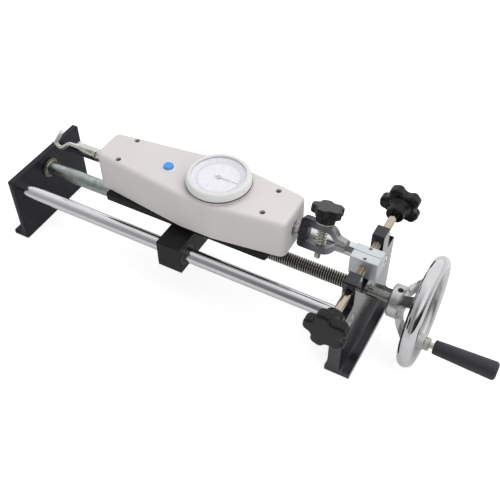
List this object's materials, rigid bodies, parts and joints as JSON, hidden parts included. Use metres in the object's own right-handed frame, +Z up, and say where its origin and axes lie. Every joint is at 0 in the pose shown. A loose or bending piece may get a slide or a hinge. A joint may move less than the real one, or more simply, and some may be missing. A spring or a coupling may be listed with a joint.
{
  "type": "manual force test stand",
  "caption": "Horizontal hand-wheel force test stand: a screw-driven carriage on guide rods carries a push-pull dial gauge with a hook and clamp, facing a small two-jaw vise.",
  "frame": {"origin": "centre of the underside of the left foot, on the floor, in the stand's middle plane", "axes": "+X along the guide rods from the hook's end to the handwheel, +Y to the back, +Z up"},
  "size_m": [0.4348, 0.152, 0.1167],
  "materials": {
    "black_enamel": "semi-gloss black enamel",
    "chrome_rod": "hard chrome, ground",
    "sleeve_steel": "zinc plated, dull",
    "bearing_bronze": "machined bronze",
    "screw_steel": "rolled thread, lightly oiled",
    "wheel_chrome": "polished chrome",
    "small_steel": "bright zinc",
    "black_grip": "moulded phenolic, satin",
    "carriage_black": "black oxide, satin",
    "bush_black": "black polymer",
    "case_white": "fine warm-white paint, satin",
    "trim_white": "moulded",
    "guide_steel": "turned",
    "button_blue": "moulded",
    "bezel_white": "moulded, satin",
    "dial_white": "matt white, printed",
    "dial_glass": "clear",
    "pointer_black": "matt",
    "shaft_steel": "ground",
    "hook_chrome": "plated wire",
    "yoke_grey": "die cast, grey",
    "jaw_zinc": "zinc plated",
    "vise_screw_nickel": "dull nickel",
    "knob_black": "moulded, satin"
  },
  "bodies": {
    "base": {"left_plate": "black_enamel", "right_plate": "black_enamel", "front_rod": "chrome_rod", "back_rod": "chrome_rod", "screw_sleeve": "sleeve_steel", "left_bush": "bearing_bronze", "right_bush": "bearing_bronze"},
    "drive": {"lead_screw": "screw_steel", "handwheel": "wheel_chrome", "handle_nut": "small_steel", "handle_spindle": "small_steel"},
    "grip": {"handle_grip": "black_grip"},
    "carriage": {"carriage_block": "carriage_black", "front_slide_bush": "bush_black", "back_slide_bush": "bush_black", "lead_nut": "bearing_bronze", "platform": "carriage_black", "gauge_case": "case_white", "case_cover": "case_white", "shaft_guide_left": "guide_steel", "shaft_guide_right": "guide_steel", "button_collar": "trim_white"},
    "dial_ring": {"bezel": "bezel_white", "dial_face": "dial_white", "dial_glass": "dial_glass"},
    "pointer": {"pointer": "pointer_black"},
    "button": {"peak_button": "button_blue"},
    "gauge_shaft": {"gauge_shaft": "shaft_steel", "hook_lock_nut": "small_steel", "hook_socket": "shaft_steel", "wire_hook": "hook_chrome", "yoke_clamp": "yoke_grey", "clamp_spring": "small_steel"},
    "clamp_pad": {"clamp_washer": "small_steel"},
    "clamp_screw": {"clamp_screw": "small_steel", "clamp_knob": "knob_black"},
    "front_jaw": {"front_jaw": "jaw_zinc", "front_jaw_retainer": "small_steel"},
    "back_jaw": {"back_jaw": "jaw_zinc", "back_jaw_retainer": "small_steel"},
    "front_screw": {"front_vise_screw": "vise_screw_nickel", "front_vise_knob": "knob_black"},
    "back_screw": {"back_vise_screw": "vise_screw_nickel", "back_vise_knob": "knob_black"}
  },
  "joints": [
    {"name": "drive_turn", "type": "hinge", "parent": "base", "child": "drive", "pos_m": [0.308, 0, 0.0505], "axis": [1, 0, 0], "range_deg": [0, 9000]},
    {"name": "grip_spin", "type": "hinge", "parent": "drive", "child": "grip", "pos_m": [0.3768, -0.00297, 0.01904], "axis": [1, 0, 0], "continuous": true},
    {"name": "carriage_slide", "type": "slide", "parent": "base", "child": "carriage", "axis": [1, 0, 0], "range_m": [-0.05, 0]},
    {"name": "dial_turn", "type": "hinge", "parent": "carriage", "child": "dial_ring", "pos_m": [0.187, 0, 0.1112], "axis": [0, 0, 1], "continuous": true},
    {"name": "pointer_turn", "type": "hinge", "parent": "carriage", "child": "pointer", "pos_m": [0.187, 0, 0.1112], "axis": [0, 0, 1], "range_deg": [-145, 145]},
    {"name": "button_press", "type": "slide", "parent": "carriage", "child": "button", "axis": [0, 0, -1], "range_m": [0, 0.002], "stiffness_N_per_m": 300},
    {"name": "gauge_pull", "type": "slide", "parent": "carriage", "child": "gauge_shaft", "axis": [1, 0, 0], "range_m": [-0.003, 0.003], "stiffness_N_per_m": 10000},
    {"name": "clamp_lift", "type": "slide", "parent": "gauge_shaft", "child": "clamp_pad", "axis": [0, 0.3746, 0.9272], "range_m": [0, 0.005]},
    {"name": "clamp_turn", "type": "hinge", "parent": "clamp_pad", "child": "clamp_screw", "pos_m": [0.2755, 0, 0.0886], "axis": [0, 0.3746, 0.9272], "range_deg": [0, 2250.01]},
    {"name": "front_jaw_slide", "type": "slide", "parent": "base", "child": "front_jaw", "axis": [0, 1, 0], "range_m": [-0.01, 0]},
    {"name": "front_knob_turn", "type": "hinge", "parent": "front_jaw", "child": "front_screw", "pos_m": [0.313, -0.03, 0.0797], "axis": [0, 1, 0], "range_deg": [-3600.01, 0]},
    {"name": "back_jaw_slide", "type": "slide", "parent": "base", "child": "back_jaw", "axis": [0, 1, 0], "range_m": [0, 0.01]},
    {"name": "back_knob_turn", "type": "hinge", "parent": "back_jaw", "child": "back_screw", "pos_m": [0.313, 0.03, 0.0797], "axis": [0, 1, 0], "range_deg": [0, 3600.01]}
  ],
  "couplings": [
    {"joint": "carriage_slide", "follows": "drive_turn", "m_per_rad": -0.00031831},
    {"joint": "pointer_turn", "follows": "gauge_pull", "rad_per_m": 837.76},
    {"joint": "clamp_turn", "follows": "clamp_lift", "rad_per_m": 7854},
    {"joint": "front_knob_turn", "follows": "front_jaw_slide", "rad_per_m": 6283.2},
    {"joint": "back_knob_turn", "follows": "back_jaw_slide", "rad_per_m": 6283.2}
  ]
}
